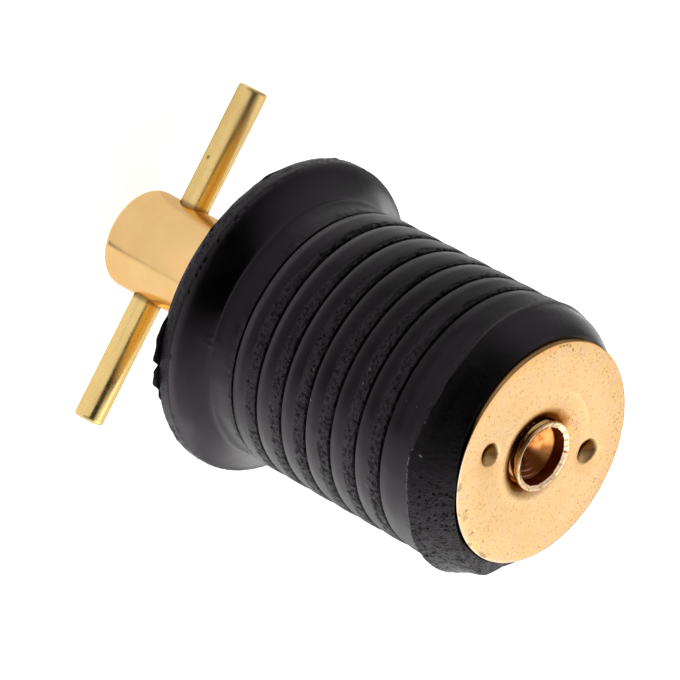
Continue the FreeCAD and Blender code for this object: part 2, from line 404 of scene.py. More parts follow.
class Finish:
    """Node tree of a new material or world, with short ways to add its nodes."""

    def __init__(self, name, kind="Material", place="Object"):
        self.owner = (bpy.data.materials if kind == "Material" else bpy.data.worlds).new(name)
        self.owner.use_nodes = True
        self.tree = self.owner.node_tree
        self.tree.nodes.clear()
        self.output = self.tree.nodes.new("ShaderNodeOutput" + kind)
        self.place = self.add("ShaderNodeTexCoord").outputs[place]

    def add(self, kind, inputs=None, **settings):
        made = self.tree.nodes.new(kind)
        for key, value in settings.items():
            setattr(made, key, value)
        for key, value in (inputs or {}).items():
            self.feed(made.inputs[key], value)
        return made

    def feed(self, socket, value):
        if isinstance(value, bpy.types.NodeSocket):
            self.tree.links.new(value, socket)
        elif socket.type == "RGBA" and len(value) == 3:
            socket.default_value = (*value, 1)
        else:
            socket.default_value = value

    def noise(self, per_mm, detail=2.0, stretch=None, roughness=0.5):
        """Noise with so many grains in a millimetre, optionally stretched along an axis."""
        place = self.place
        if stretch:
            place = self.add("ShaderNodeMapping", {"Vector": place, "Scale": stretch}).outputs[0]
        settings = {"Vector": place, "Scale": per_mm / MM, "Detail": detail, "Roughness": roughness}
        return self.add("ShaderNodeTexNoise", settings).outputs[0]

    def dots(self, per_mm, rarity, size=0.4, soft=0.2, spread=0.35, most=1.0):
        """Small round specks, so many to a millimetre, of which a share is left out. Sizes are shares of a cell."""
        cells = self.add("ShaderNodeTexVoronoi", {"Vector": self.place, "Scale": per_mm / MM}, feature="F1")
        chosen = self.add("ShaderNodeSeparateColor", {"Color": cells.outputs["Color"]}).outputs[0]
        near = self.span(cells.outputs["Distance"], size - soft, size, 1.0, 0.0)
        return self.calc(near, self.span(chosen, rarity, rarity + spread, 0.0, most))

    def field(self, name):
        return self.add("ShaderNodeAttribute", attribute_name=name).outputs["Fac"]

    def span(self, value, low, high, to_low=0.0, to_high=1.0, shape="SMOOTHSTEP"):
        """Step of a value from low to high, given as other bounds."""
        inputs = {"Value": value, "From Min": low, "From Max": high, "To Min": to_low, "To Max": to_high}
        return self.add("ShaderNodeMapRange", inputs, interpolation_type=shape).outputs[0]

    def calc(self, first, second, operation="MULTIPLY"):
        return self.add("ShaderNodeMath", {0: first, 1: second}, operation=operation).outputs[0]

    def blend(self, share, first, second):
        """Colour between two, by a share."""
        made = self.add("ShaderNodeMix", data_type="RGBA")
        for index, value in {0: share, 6: first, 7: second}.items():
            self.feed(made.inputs[index], value)
        return made.outputs[2]

    def cover(self, body, *layers):
        """Colour with layers over it, each the name of its field and its colour."""
        for name, colour in layers:
            body = self.blend(self.field(name), body, colour)
        return body

    def clouded(self, colour, cloud, share, tones):
        """Colour that goes over to deeper tones of itself in clouds."""
        deeper = tuple(channel * tone for channel, tone in zip(colour, tones))
        return self.blend(self.calc(self.span(cloud, 0.35, 0.7), share), tuple(colour), deeper)

    def bump(self, height, depth_mm, before=None):
        inputs = {"Height": height, "Distance": depth_mm * MM, "Strength": 1.0}
        if before:
            inputs["Normal"] = before
        return self.add("ShaderNodeBump", inputs).outputs[0]

    def glow(self, strength):
        return self.add("ShaderNodeEmission", {"Color": (1, 1, 1), "Strength": strength}).outputs[0]

    def finish(self, shader):
        self.tree.links.new(shader, self.output.inputs["Surface"])
        return self.owner

    def surface(self, body, rough, relief, gleam, metal=1.0):
        inputs = {"Base Color": body, "Metallic": metal, "Roughness": rough, "Normal": relief, "Specular Tint": gleam}
        return self.finish(self.add("ShaderNodeBsdfPrincipled", {"IOR": 1.5, **inputs}).outputs[0])


def dress(made, material):
    made.data.materials.clear()
    made.data.materials.append(material)


def rubber_finish(settings):
    """Black moulded rubber: satin bands, dull grainy bands, faint bloom and light specks, with painted shade in the
    pits and on the shaded heels as a darkened gloss.
    """
    look = Finish("moulded_rubber")
    coarse = look.field("coarse")
    grain, cloud = look.noise(9.0, 3), look.noise(0.35, 3)
    bloom = look.calc(look.span(cloud, 0.45, 0.75), 0.35)
    body = look.blend(bloom, tuple(settings.colour), (0.0040, 0.0036, 0.0035))
    grey = look.calc(look.span(grain, 0.54, 0.68), coarse)
    body = look.blend(look.calc(grey, 0.5), body, (0.0045, 0.0042, 0.0042))
    light_marks = look.calc(look.dots(1.3, 0.87, 0.07, 0.04, 0.12, 0.8), look.field("light_marks"), "MAXIMUM")
    body = look.blend(light_marks, body, (0.36, 0.35, 0.34))
    rough = look.span(coarse, 0.0, 1.0, settings.smooth_roughness, settings.coarse_roughness)
    rough = look.calc(rough, look.span(cloud, 0.3, 0.7, -0.03, 0.05), "ADD")
    wide_pits = look.calc(look.dots(2.5, 0.30, 0.52), look.field("pitted"))
    pits = look.calc(wide_pits, look.calc(look.dots(5.2, 0.35, 0.45), coarse), "MAXIMUM")
    pits = look.calc(pits, look.calc(look.field("painted_shade"), 0.9), "MAXIMUM")
    relief = look.bump(look.noise(1.3, 2), 0.004)
    relief = look.bump(look.calc(look.calc(grain, 0.5, "SUBTRACT"), coarse), 0.11, relief)
    relief = look.bump(look.calc(1.0, pits, "SUBTRACT"), 0.08, relief)
    # Painted shade: the gloss goes almost to black in the pits and in the painted-shade places.
    gleam = look.blend(pits, (1.0, 0.89, 0.99), (0.02, 0.02, 0.02))
    return look.surface(body, rough, relief, gleam, metal=0.0)


def brass_finish(name, colour, roughness, brush, speck_share=0.35, cloud_share=0.35, grain=11.0, marks_depth=0.004):
    """Brass with cloudy tone, fine brown specks and tool marks along brush, and layers where its fields say: dirt with
    painted shade, painted shade, a painted highlight, amber and brown.
    """
    look = Finish(name)
    cloud, fine, medium = look.noise(0.42, 3), look.noise(grain, 2, roughness=0.7), look.noise(2.6, 3)
    worn = look.field("worn")
    body = look.clouded(colour, cloud, cloud_share, (0.92, 0.85, 0.72))
    specks = look.calc(look.span(fine, 0.50, 0.66), look.span(medium, 0.40, 0.62))
    body = look.blend(look.calc(specks, speck_share), body, (0.46, 0.26, 0.10))
    gold = look.span(look.noise(2.1, 3), 0.48, 0.62, 0, 0.7)
    rosy = look.span(look.noise(1.2, 3), 0.50, 0.64, 0, 0.7)
    clusters = look.span(look.noise(0.55, 2), 0.38, 0.6, 0.25, 1.0)
    for patch, tone in (
        (gold, (0.90, 0.62, 0.24)),
        (rosy, (0.90, 0.55, 0.33)),
        (look.calc(look.dots(5.5, 0.45), clusters), (0.48, 0.21, 0.07)),
        (look.calc(look.dots(3.1, 0.72), clusters), (0.28, 0.11, 0.035)),
    ):
        body = look.blend(look.calc(patch, worn), body, tone)
    body = look.cover(
        body,
        # Amber and brown patches, a painted highlight (pale), dirt with painted shade, and painted shade.
        ("amber", (0.80, 0.44, 0.16)),
        ("stain_and_shade", (0.42, 0.15, 0.035)),
        ("pale", (0.96, 0.80, 0.68)),
        ("grime_and_shade", (0.085, 0.036, 0.011)),
        ("shade", (0.025, 0.013, 0.006)),
    )
    rough = look.span(cloud, 0.3, 0.7, roughness - 0.03, roughness + 0.05)
    for more, share in ((specks, 0.15), (look.field("dull"), 0.12)):
        rough = look.calc(rough, look.calc(more, share), "ADD")
    relief = look.bump(look.noise(1.0, 3, stretch=brush), marks_depth)
    relief = look.bump(medium, 1.5 * marks_depth, relief)
    relief = look.bump(look.calc(fine, worn), 0.012, relief)
    # The gloss is darkened where the dirt and painted shade are.
    gleam = look.blend(look.field("grime_and_shade"), (1.0, 0.85, 0.65), (0.08, 0.05, 0.03))
    return look.surface(body, rough, relief, gleam)


# ---- rubber plug


def rubber_rows(settings):
    """Half section of the plug in millimetres, and the first row of its flash."""
    low, high = RUBBER_LOW.z, RUBBER_HIGH.z
    crest, pitch = settings.crest_radius / MM, settings.rib_pitch / MM
    root = crest - settings.groove_depth / MM
    rim, collar = RUBBER_HIGH.y, COLLAR_RADIUS
    lip_low, lip_high = low + LIP_BACK, low + LIP_FRONT
    collar_low, groove = low + COLLAR_FOOT, low + FIRST_GROOVE
    centre = (rim - LIP_ROUND, lip_low + LIP_ROUND)
    rows = trace(
        [
            (SPINDLE_BORE, low),
            (WASHER_HIGH.x + 0.6, low, 4),
            (rim - LIP_ROUND, lip_low, 2),
            *quarter(centre, LIP_ROUND, -90, -50, 2),
        ]
    )
    flash_start = len(rows)
    # Six rows at one place, for the flash.
    corners = [rows[-1], *[(*rows[-1], 1)] * 6, *quarter(centre, LIP_ROUND, -50, 0, 2)]
    flare, foot = (rim - 0.2, lip_high), (collar + 0.30, collar_low - 0.34)
    corners += [(rim, lip_high - 0.2, 4), (rim - 0.05, lip_high - 0.06, 1), (*flare, 1), *bow(flare, foot, -0.1, 5)]
    corners += [(collar + 0.16, collar_low - 0.16, 1), (collar + 0.07, collar_low + 0.01, 1)]
    corners += [(collar + 0.02, collar_low + 0.18, 1), (collar, collar_low + 0.4, 1), (collar, groove - 0.13, 4)]
    corners += [(root, groove - 0.03, 1)]
    for index in range(RIBS):
        start = groove + index * pitch
        foot, top, heel = (crest - 0.12, start + 0.15), (crest, start + pitch / 2), (crest - 0.08, start + pitch - 0.15)
        corners += [(root, start + 0.03, 1), (*foot, 2), *bow(foot, top, 0.05, 4), *bow(top, heel, 0.03, 10)]
        corners += [(root, start + pitch - 0.03, 1)]
    last, seam = groove + RIBS * pitch, high - SEAM_DROP
    foot, land, shoulder = (crest - 0.10, last + 0.15), (crest + 0.03, high - 4.6), (crest + 0.25, seam + 0.2)
    corners += [(root, last + 0.03, 1), (*foot, 2), *bow(foot, land, 0.05, 4)]
    corners += [(crest + 0.05, seam, 6), (crest + 0.27, seam + 0.05, 1)]
    corners += [(*shoulder, 1), *bow(shoulder, (END_FACE_RADIUS, high), 0.12, 17)]
    corners += [(FACE_CORNER, high, 1), (10.47, high, 1), (7.8, high, 2), (5.0, high, 5), (COLLAR_POCKET, high, 1)]
    corners += [(COLLAR_POCKET, high - POCKET_DEPTH, 1), (SPINDLE_BORE, high - POCKET_DEPTH, 1)]
    corners += [(SPINDLE_BORE, low + 0.5, 1)]
    return rows + trace(corners)[1:], flash_start


def flash_height(settings, angles, ragged):
    """Height of the moulding flash round the flange, in millimetres, from azimuths in degrees."""
    tall = settings.flash_height / MM
    height = 0.03 + 0.02 * ragged
    for first, last, soft, stretch in (
        (-175, -134, 3, 0.07 + 0.03 * ragged),
        (-73, -56.5, 4, tall * (0.42 + 0.40 * ramp(-73, -57, angles) + 0.14 * ragged)),
        (-54.5, -41, 2.5, tall * (1.0 - 0.75 * ramp(-53, -41, angles) + 0.12 * ragged)),
        (-39, 9, 6, np.clip(0.01 + 0.06 * ragged, 0, 0.12)),
        (60, 118, 8, np.clip(0.05 + 0.12 * ragged, 0, 0.3)),
    ):
        height += window(angles, first, last, soft) * stretch
    return np.clip(height, 0.01, None)


def make_rubber(settings):
    rows, flash_start = rubber_rows(settings)
    columns = settings.columns
    radii, heights, turns, degrees, skin = turned_surface(rows, columns, settings.crest_radius / MM)
    seed, pitch = settings.seed, settings.rib_pitch / MM
    low, high = RUBBER_LOW.z, RUBBER_HIGH.z
    groove, seam = low + FIRST_GROOVE, high - SEAM_DROP
    last = groove + RIBS * pitch
    outside = (radii > 10) * np.ones(columns)
    level = heights + 0 * turns

    # Where the surface is coarse: the plate side of each rib, the land, the end taper and the lip.
    wobble = skin.noise(seed, 0.3, 0.6) * 0.02
    phase = ((level + wobble - groove) / pitch) % 1
    on_ribs = ramp(groove - 0.1, groove, level) * fall(last - 0.1, last + 0.1, level)
    upper_side = window(degrees, -215, -118, 40)
    coarse = on_ribs * ramp(0, 0.11, phase - 0.55 - 0.24 * upper_side)
    end_band = ramp(seam, seam + 0.1, level)
    near_seam = ramp(seam - 0.9, seam - 0.5, level + 3 * wobble) * (level < seam)
    dull = 0.85 * upper_side + 0.5 * window(degrees, -118, -66, 30)
    coarse = np.maximum(coarse, np.maximum(end_band * np.clip(1 - dull, 0.15, 1), 0.25 * near_seam))
    pitted = end_band * window(degrees, -66, 30, 30)
    # Painted shade: the gloss is darkened on the heels of the ribs on the upper side, which face away from the light,
    # and on the end band between -130 and -60 degrees.
    painted_shade = on_ribs * upper_side * ramp(0.80, 0.87, phase + 0.03 * skin.noise(seed + 17, 0.2, 0.35)) * outside
    painted_shade = np.maximum(painted_shade, 0.7 * end_band * window(degrees, -130, -60, 25))
    lip = ramp(low + 0.2, low + 0.5, level) * fall(low + 1.5, low + LIP_FRONT, level)
    coarse = np.maximum(coarse, lip * (0.45 + 0.4 * ramp(-0.2, 0.8, skin.noise(seed + 2, 0.5, 0.9))))
    before_groove = ramp(groove - 0.75, groove - 0.6, level + wobble) * (level < groove)
    coarse = np.maximum(coarse, 0.7 * before_groove * ramp(-0.5, 0.4, skin.noise(seed + 3, 0.6, 1.4)))
    coarse *= outside

    # Pits, crumbs at the heels of the ribs, slow waves, the seam's burr and a few fallen chips.
    side = 0.55 + 0.45 * np.cos(np.radians(wrapped(degrees, -20)))
    density = 0.45 + 0.35 * side + 0.22 * skin.noise(seed + 4, 0.9, 2.2)
    dots = ramp(1.3 - density, 2.0 - density, skin.noise(seed + 6, 0.08, 0.09))
    wrinkles = ramp(2.1 - density, 2.6 - density, skin.noise(seed + 7, 0.16, 0.10))
    relief = -coarse * settings.pit_depth / MM * (dots * (1 - 0.6 * end_band) + 0.5 * end_band * wrinkles)
    heel = np.maximum(on_ribs, before_groove) * ramp(0.86, 0.94, phase) * outside
    crumbs = ramp(0.5, 1.5, skin.noise(seed + 9, 0.10, 0.16) + 0.45 * side)
    relief -= heel * 0.06 * crumbs * (1 + upper_side)
    relief += outside * 0.005 * skin.noise(seed + 8, 2.6, 4.0)
    burr = peak(level, seam + 0.06, 0.09)
    torn = np.clip(0.5 + skin.noise(seed + 15, 0.2, 0.3), 0, 2)
    relief += outside * 0.035 * burr * (torn * (1 - upper_side) + upper_side)
    relief -= 0.04 * outside * (1 - coarse) * ramp(3.1, 3.6, skin.noise(seed + 10, 0.14, 0.2))
    out_r, out_z = row_normals(radii, heights)
    reach = radii + out_r * relief
    level += out_z * relief * (heights < high - 0.02)

    # Grooves that wander a little.
    ribs_only = ramp(low + 4.5, low + 8, heights) * fall(high - 4.5, high - 0.5, heights)
    level += ribs_only * outside * 0.012 * skin.noise(seed + 11, 1.4, 3.0)

    # Flash: a thin torn fin between the flange's back round and its rim. Each of its rows is a share of
    # its height and a distance across its thickness.
    ragged, notched, bent = (
        noise_sheet(seed + more, 8, columns, 0.5, grain / skin.column_step)[0]
        for more, grain in ((12, 0.28), (13, 0.9), (14, 1.5))
    )
    fin, lean_back = flash_height(settings, degrees, ragged + 0.6 * notched), 0.35 + 0.25 * bent
    fin_rows = [(0.0, 0.0), (0.55, 0.03), (1.0, 0.02), (1.0, -0.02), (0.55, -0.05), (0.0, -0.09)]
    for row, (share, thick) in enumerate(fin_rows, flash_start):
        reach[row] = radii[row] + fin * share * 0.94 + thick * 0.3
        level[row] = heights[row] + thick - fin * share * 0.34 * lean_back
    reach = np.minimum(reach, RUBBER_HIGH.y / np.maximum(np.abs(np.sin(turns)), 1e-6))

    # Vent ring mark on the crease behind the flare.
    mark = np.hypot(wrapped(degrees, -69) * math.radians(COLLAR_RADIUS), heights - (low + 4.03))
    reach += outside * 0.05 * peak(mark, 0.42, 0.12)

    # Pockets for the plate's bumps in the end face.
    for place in DIMPLES:
        away = np.hypot(radii * np.cos(turns) - place[0], radii * np.sin(turns) - place[1])
        level -= (heights > high - 0.01) * 0.7 * fall(0, 1.35, away)

    # Single light grains in the coarse bands, a pale line along the seam, patchy below and even on the upper side, and
    # pale rubbed marks beside the plate.
    light_marks = np.zeros(reach.shape)
    for height, azimuth in LIGHT_GRAINS:
        away = np.hypot(wrapped(degrees, azimuth) * math.radians(12.3), level - height)
        light_marks[np.unravel_index(np.argmin(np.where(outside > 0, away, 9)), away.shape)] = 0.9
    pale = skin.noise(seed + 16, 0.05, 0.1) - 1.2 + 1.3 * window(degrees, -73, -22, 16) + 0.5 * upper_side
    pale = np.maximum(0.85 * ramp(0.4, 1.4, pale) * (1 - upper_side), 0.35 * upper_side)
    light_marks = np.maximum(light_marks, outside * pale * (np.abs(level - seam - 0.05) < 0.04))
    rubbed = ((radii > 10.4) & (radii < 11.3) & (heights > high - 0.35)) * window(degrees, -14, 26, 16)
    light_marks = np.maximum(light_marks, rubbed * (0.30 + 0.12 * np.clip(skin.noise(seed + 18, 0.2, 0.3), -2, 2)))

    # Seam that wanders up and down.
    azimuths, seam_rise = np.array(SEAM_LINE).T
    near_line = ramp(seam - 2.0, seam - 0.1, heights) * fall(seam + 0.15, high - 0.4, heights)
    level += outside * near_line * np.interp(degrees, azimuths, seam_rise)

    # End band: set off towards +X, and swollen up beside the plate there.
    outer = radii > 10.5
    azimuths, swells, rises = np.array(END_SWELL).T
    swell, rise = np.interp(degrees, azimuths, swells), np.interp(degrees, azimuths, rises)
    upper = ramp(seam + 0.8, high, heights)
    reach += outer * (end_band * (0.25 * np.cos(turns) - 0.12 * window(degrees, 5, 45, 15)) + upper * swell)
    level += outer * upper * rise
    shoulder = np.sin(math.pi * np.clip((heights - seam - 0.25) / (high - seam - 0.25), 0, 1))
    reach += outer * shoulder * (0.28 * window(degrees, -200, -152, 30) - 0.22 * window(degrees, -32, 14, 24))
    beside_plate = PLATE_HIGH.x + 0.05 + PLATE_SHIFT[0] * np.cos(turns) + PLATE_SHIFT[1] * np.sin(turns)
    corner = int(np.argmin(np.abs(radii - FACE_CORNER)))
    reach[corner - 1] = np.maximum(reach[corner - 1], beside_plate + 0.15)
    reach[corner], reach[corner + 1] = beside_plate + 0.03, beside_plate
    level[corner] -= 0.3 * ramp(0.1, 0.5, rise)

    fields = {"coarse": coarse, "light_marks": light_marks, "pitted": pitted, "painted_shade": painted_shade}
    made = grid_object("rubber_body", turn_points(reach, level, turns), loop=True, fields=fields, sharp=48)
    dress(made, rubber_finish(settings))
    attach(made, "plug")
    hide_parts("rubber_plug")
    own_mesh(made)


# ---- handle


def thread_flank(heights, turns, pitch):
    """Way from the thread's crest to its root as a share, kept flat on both."""
    share = ((heights - THREAD_CREST) / pitch - turns / (2 * math.pi) + 0.5) % 1
    return np.clip(np.abs(share - 0.5) * 2, FLANK_START, FLANK_END)


def make_spindle(settings):
    """Barrel and stem in one: turned barrel, threaded stem, hollow flared end."""
    top = SPINDLE_HIGH.z
    barrel, shoulder, end_round = 4.75, WASHER_LOW.z, 0.6
    stem, flare, rim_round = 3.1, 3.3, 0.14
    bore, bore_depth, drill_point = 2.62, 1.25, 1.38
    thread_end, depth = top - 0.3, settings.thread_depth / MM
    thread_start = thread_end - settings.thread_length / MM
    corners = [(0.25, 0.12), (0.5, 0.05, 1), (0.75, 0, 1), (barrel - end_round, 0, 8)]
    corners += quarter((barrel - end_round, end_round), end_round, -90, 0, 7)
    corners += [(barrel, shoulder - 0.5, 70), (barrel - 0.5, shoulder, 3), (stem, shoulder, 3)]
    corners += [(stem, thread_start, 12), (stem, thread_end, 160), (flare, top - 0.25, 3)]
    corners += quarter((flare - rim_round, top - rim_round), rim_round, 0, 90, 5)
    corners += [(flare - 0.24, top - 0.02, 2), (flare - 0.3, top - 0.05, 1), (bore + 0.1, top - 0.2, 6)]
    corners += [(bore, top - bore_depth, 10), (0.15, top - bore_depth - drill_point, 40)]
    radii, heights, turns, degrees, skin = turned_surface(trace(corners), columns=288, mean_radius=4.0)
    reach, level = radii + 0 * turns, heights + 0 * turns
    inner = np.arange(len(radii))[:, None] >= int(np.argmax(heights))
    outer = ~inner & (radii > 2.9)

    cut = (thread_flank(level, turns, settings.thread_pitch / MM) - FLANK_START) / (FLANK_END - FLANK_START) * depth
    run_out = ramp(thread_start, thread_start + 1.5, level)
    run_out *= fall(thread_end - 0.45, thread_end - 0.15, level)
    reach -= outer * run_out * cut
    beside_bore = (bore + 0.16) * ramp(top - bore_depth - 0.5, top - bore_depth - 0.1, level)
    reach = np.where(outer, np.maximum(reach, beside_bore), reach)

    # Waves of the barrel, and dents, nicks and chips of the rim.
    reach += (outer & (heights < shoulder - 0.4)) * 0.006 * skin.noise(settings.seed, 1.6, 2.4)
    rim_zone = ramp(top - 0.7, top - 0.25, level)
    dent, nick = (noise_sheet(settings.seed + more, 8, len(turns), 0.5, blur)[0] for more, blur in ((1, 9), (2, 2.2)))
    chipped = window(degrees, 60, 175, 30) * np.clip(nick, 0, 2)
    reach -= rim_zone * outer * 0.015 * (1.5 + dent)
    reach += rim_zone * inner * (0.02 * dent + 0.015 * nick + 0.03 * chipped)
    level -= ramp(top - 0.4, top - 0.1, level) * (0.02 * np.clip(dent + 1, 0, 2.5) + 0.03 * chipped)

    # Drill rings on the cone at the bore's bottom, and the bore's rough wall.
    cone = inner * fall(top - bore_depth - 0.06, top - bore_depth, heights)
    rings = 0.002 + 0.012 * window(degrees, -70, 30, 60)
    reach += cone * rings * np.sin(heights * 2 * math.pi / 0.19)
    level += cone * 0.02 * skin.noise(settings.seed + 4, 0.8, 0.9)
    reach += inner * (1 - rim_zone) * 0.015 * skin.noise(settings.seed + 3, 0.3, 0.8)

    rim_top = ramp(top - 0.30, top - 0.20, level)
    crown = rim_top * (inner + outer * ramp(top - 0.2, top - 0.1, level))
    root = outer * run_out * ramp(0.25, 0.5, cut / depth) * 0.6
    # Painted shade on the drill point: darker all round but for the side between 100 and 210 degrees, which is left
    # bright, and darkest between -85 and 98 degrees.
    painted_shade = cone * (0.55 + 0.4 * window(degrees, -85, 98, 50)) * window(degrees, -150, 100, 60)
    # Painted highlights along the drill rings on one side of the drill point.
    arc_highlights = cone * ramp(0.5, 1.0, np.sin(heights * 2 * math.pi / 0.24)) * window(degrees, -30, 42, 30)
    arc_highlights *= ramp(1.5, 1.7, radii) * fall(2.35, 2.5, radii)
    # Dark thread roots and the drill point's painted shade go into one field.
    fields = {"grime_and_shade": np.maximum(root, painted_shade), "bore": inner * (1 - rim_top), "cone": cone, "crown": crown}
    fields["arc_highlights"] = 0.85 * arc_highlights
    made = grid_object("spindle", turn_points(reach, level, turns), caps=True, fields=fields, sharp=40)
    cut_bar_hole(made)
    dress(made, spindle_finish(settings))
    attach(made, "handle")
    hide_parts("handle_spindle")


def cut_bar_hole(made):
    """Cuts the hole for the cross bar through the barrel, with both mouths eased."""
    half_hole = [(4.1, 0.0), (4.35, 0.02), (4.72, 0.22), (6.0, 1.75)]
    stations = [(-along, extra) for along, extra in reversed(half_hole)] + half_hole
    turns = np.arange(96) * 2 * math.pi / 96
    along, extra = np.array(stations).T[:, :, None]
    cutter = grid_object("hole_cutter", lying_points(along + 0 * turns, BAR_RADIUS + extra, turns), caps=True)
    modifier = made.modifiers.new("bar_hole", "BOOLEAN")
    modifier.operation, modifier.solver, modifier.object = "DIFFERENCE", "EXACT", cutter
    graph = bpy.context.evaluated_depsgraph_get()
    carved = bpy.data.meshes.new_from_object(made.evaluated_get(graph))
    made.modifiers.clear()
    made.data = carved
    bpy.data.objects.remove(cutter)
    shade_smooth(made.data, 40)


def spindle_finish(settings):
    """Brass of the barrel and stem, going over to coppery tarnish inside the bore, with painted shade on the drill
    point and painted highlights along its rings.
    """
    look = Finish("turned_brass")
    cloud, fine, medium = look.noise(0.38, 3), look.noise(9.0, 2, roughness=0.7), look.noise(2.2, 3)
    bore, cone, crown = look.field("bore"), look.field("cone"), look.field("crown")
    body = look.clouded(settings.barrel_colour, cloud, 0.4, (0.93, 0.86, 0.74))
    specks = look.calc(look.span(fine, 0.62, 0.76), look.span(medium, 0.48, 0.7))
    body = look.blend(look.calc(specks, 0.3), body, (0.42, 0.22, 0.08))
    body = look.blend(look.calc(crown, 0.7), body, (0.94, 0.74, 0.52))
    worn = look.calc(look.span(look.noise(3.2, 3), 0.50, 0.64), crown)
    body = look.blend(look.calc(worn, 0.6), body, (0.40, 0.20, 0.07))
    patch = look.span(look.noise(0.9, 3), 0.40, 0.68)
    body = look.blend(bore, body, look.blend(patch, (0.34, 0.075, 0.018), (0.20, 0.038, 0.009)))
    body = look.blend(cone, body, look.blend(patch, tuple(settings.bore_colour), (0.50, 0.14, 0.025)))
    # Dark thread roots and painted shade on the drill point, then painted highlights along the drill rings.
    body = look.cover(body, ("grime_and_shade", (0.13, 0.026, 0.005)), ("arc_highlights", (0.80, 0.38, 0.30)))
    wall = look.calc(bore, look.calc(cone, 0.6), "SUBTRACT")
    rough = look.calc(look.span(cloud, 0.3, 0.7, 0.17, 0.23), look.calc(wall, 0.45), "ADD")
    relief = look.bump(look.noise(1.0, 3, stretch=(0.6, 0.6, 14.0)), 0.004)
    relief = look.bump(medium, 0.006, relief)
    return look.surface(body, rough, relief, look.blend(bore, (1.0, 0.85, 0.65), (0.15, 0.04, 0.012)))


def make_cross_bar(settings):
    """Round bar along X with turned ends, a few dents and the slight waves of a drawn rod."""
    half, radius, end_round, seed = BAR_HIGH.x, BAR_RADIUS, 0.34, settings.seed
    rounding = [
        (radius - end_round + end_round * math.sin(turn), half - end_round * (1 - math.cos(turn)))
        for turn in np.linspace(math.pi / 2, 0, 7)
    ]
    tip = [*rounding, (0.9, half), (0.5, half), (0.12, half)]
    rows = [(reach, -along) for reach, along in reversed(tip)]
    rows += [(radius, along) for along in np.linspace(-half + 0.5, half - 0.5, 180)] + tip
    radii, along, turns, degrees, skin = turned_surface(rows, columns=144, mean_radius=radius)
    ends, body = np.abs(along) > half - 0.02, radii > radius - 0.05
    along = along + 0 * turns
    reach = radii + body * 0.003 * skin.noise(seed + 20, 1.2, 1.1)
    reach -= body * 0.05 * ramp(3.2, 3.9, skin.noise(seed + 21, 0.12, 0.12))
    pit = np.hypot(along + 9.36, radius * np.radians(wrapped(degrees, 185)))
    reach -= body * 0.05 * fall(0.08, 0.26, pit)
    along += 0.12 * ramp(half - 0.9, half - 0.5, -along)
    along -= np.sign(along) * ends * 0.03 * np.clip(skin.noise(seed + 22, 0.5, 0.9), 0, 2)
    # Darker inside the barrel's hole and at its mouths, and in the pit.
    grime_and_shade = np.maximum(fall(4.7, 5.1, np.abs(along)) * 0.7, 0.8 * fall(0.1, 0.24, pit))
    fields = {"grime_and_shade": grime_and_shade, "dull": ramp(8, 14, -along)}
    made = grid_object("bar", lying_points(along, reach, turns), caps=True, fields=fields, sharp=40)
    colour, brush = tuple(settings.bar_colour), (14.0, 1.0, 1.0)
    dress(made, brass_finish("drawn_brass", colour, 0.25, brush, speck_share=0.25, cloud_share=0.3, marks_depth=0.001))
    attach(made, "handle")
    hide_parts("cross_bar")


# ---- plates


def dress_washer():
    """The frame's own washer, in stamped brass."""
    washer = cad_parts["thrust_washer"]
    dress(washer, brass_finish("washer_brass", (0.90, 0.57, 0.14), 0.28, (1.0, 1.0, 1.0)))


